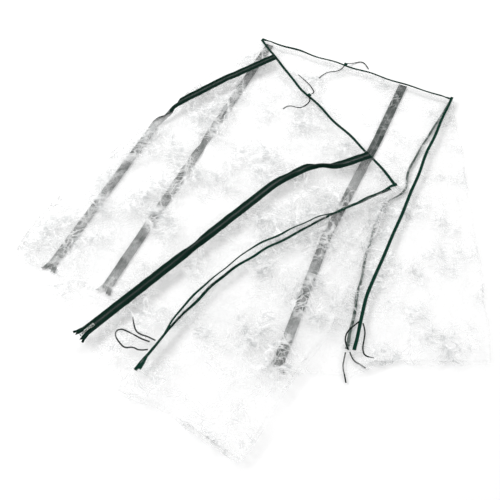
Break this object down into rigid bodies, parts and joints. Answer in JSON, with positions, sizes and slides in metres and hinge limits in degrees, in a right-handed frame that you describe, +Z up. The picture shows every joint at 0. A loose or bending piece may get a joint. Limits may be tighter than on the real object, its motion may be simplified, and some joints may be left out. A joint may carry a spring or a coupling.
{
  "type": "greenhouse cover",
  "caption": "Clear film A-frame greenhouse cover with green bindings, zip doors and ties, folded in half across its ridge and laid flat.",
  "frame": {"origin": "centre of the laid-out cover's box, on the floor", "axes": "+Z up from the floor, +X to the right, +Y away from the front, the ridge's fold at the far side"},
  "size_m": [1.5884, 1.7824, 0.049],
  "materials": {
    "clear_film": "thin crinkled clear film, glossy",
    "green_binding": "folded woven tape, fine rib",
    "zipper_tape": "herringbone woven zipper tape",
    "zipper_coil": "nylon coil",
    "zipper_metal": "enamelled die casting",
    "tie_tape": "narrow soft woven tape"
  },
  "bodies": {
    "cover": {"back_film_over": "clear_film", "back_film_under": "clear_film", "back_left_leg_binding": "green_binding", "back_right_leg_binding": "green_binding", "front_left_leg_binding": "green_binding", "front_right_leg_binding": "green_binding", "left_door_film_over": "clear_film", "left_door_film_under": "clear_film", "left_door_tie_inner": "tie_tape", "left_door_tie_outer": "tie_tape", "left_door_tie_tab": "tie_tape", "left_end_film_over": "clear_film", "left_end_film_under": "clear_film", "left_foot_tie_long": "tie_tape", "left_foot_tie_short": "tie_tape", "left_inner_zip_door_coil": "zipper_coil", "left_inner_zip_door_tape": "zipper_tape", "left_inner_zip_wall_coil": "zipper_coil", "left_inner_zip_wall_tape": "zipper_tape", "left_margin_film": "clear_film", "left_outer_zip_door_coil": "zipper_coil", "left_outer_zip_door_tape": "zipper_tape", "left_outer_zip_wall_coil": "zipper_coil", "left_outer_zip_wall_tape": "zipper_tape", "middle_film_over": "clear_film", "middle_film_under": "clear_film", "ridge_binding_left": "green_binding", "ridge_binding_right": "green_binding", "right_door_film": "clear_film", "right_door_tie_inner": "tie_tape", "right_door_tie_outer": "tie_tape", "right_door_tie_tab": "tie_tape", "right_end_film_over": "clear_film", "right_end_film_under": "clear_film", "right_foot_tie_long": "tie_tape", "right_foot_tie_loop": "tie_tape", "right_foot_tie_mid": "tie_tape", "right_foot_tie_short": "tie_tape", "right_inner_zip_door_coil": "zipper_coil", "right_inner_zip_door_tape": "zipper_tape", "right_inner_zip_wall_coil": "zipper_coil", "right_inner_zip_wall_tape": "zipper_tape", "right_margin_film": "clear_film", "right_outer_zip_door_coil": "zipper_coil", "right_outer_zip_door_tape": "zipper_tape", "right_outer_zip_wall_coil": "zipper_coil", "right_outer_zip_wall_tape": "zipper_tape", "zipper_stops": "zipper_coil"},
    "right_inner_slider": {"right_inner_zip_slider": "zipper_metal"},
    "right_inner_pull": {"right_inner_zip_pull": "zipper_metal"},
    "right_outer_slider": {"right_outer_zip_slider": "zipper_metal"},
    "right_outer_pull": {"right_outer_zip_pull": "zipper_metal"},
    "left_inner_slider": {"left_inner_zip_slider": "zipper_metal"},
    "left_inner_pull": {"left_inner_zip_pull": "zipper_metal"},
    "left_outer_slider": {"left_outer_zip_slider": "zipper_metal"},
    "left_outer_pull": {"left_outer_zip_pull": "zipper_metal"}
  },
  "joints": [
    {"name": "right_inner_slider_run", "type": "slide", "parent": "cover", "child": "right_inner_slider", "axis": [0.4162, 0.9093, 0], "range_m": [0, 1.251]},
    {"name": "right_inner_pull_swing", "type": "hinge", "parent": "right_inner_slider", "child": "right_inner_pull", "pos_m": [-0.47539, -0.31646, 0.00965], "axis": [-0.9093, 0.4162, 0], "range_deg": [0, 20]},
    {"name": "right_outer_slider_run", "type": "slide", "parent": "cover", "child": "right_outer_slider", "axis": [0.3598, 0.933, 0], "range_m": [0, 0.419]},
    {"name": "right_outer_pull_swing", "type": "hinge", "parent": "right_outer_slider", "child": "right_outer_pull", "pos_m": [0.07333, -0.57751, 0.00965], "axis": [-0.933, 0.3598, 0], "range_deg": [0, 20]},
    {"name": "left_inner_slider_run", "type": "slide", "parent": "cover", "child": "left_inner_slider", "axis": [0.409, 0.9125, 0], "range_m": [0, 0.622]},
    {"name": "left_inner_pull_swing", "type": "hinge", "parent": "left_inner_slider", "child": "left_inner_pull", "pos_m": [-0.66968, -0.23333, 0.00965], "axis": [-0.9125, 0.409, 0], "range_deg": [0, 20]},
    {"name": "left_outer_slider_run", "type": "slide", "parent": "cover", "child": "left_outer_slider", "axis": [0.7153, 0.6988, 0], "range_m": [0, 0.759]},
    {"name": "left_outer_pull_swing", "type": "hinge", "parent": "left_outer_slider", "child": "left_outer_pull", "pos_m": [-0.5053, -0.49897, 0.04665], "axis": [-0.6988, 0.7153, 0], "range_deg": [0, 120]}
  ]
}
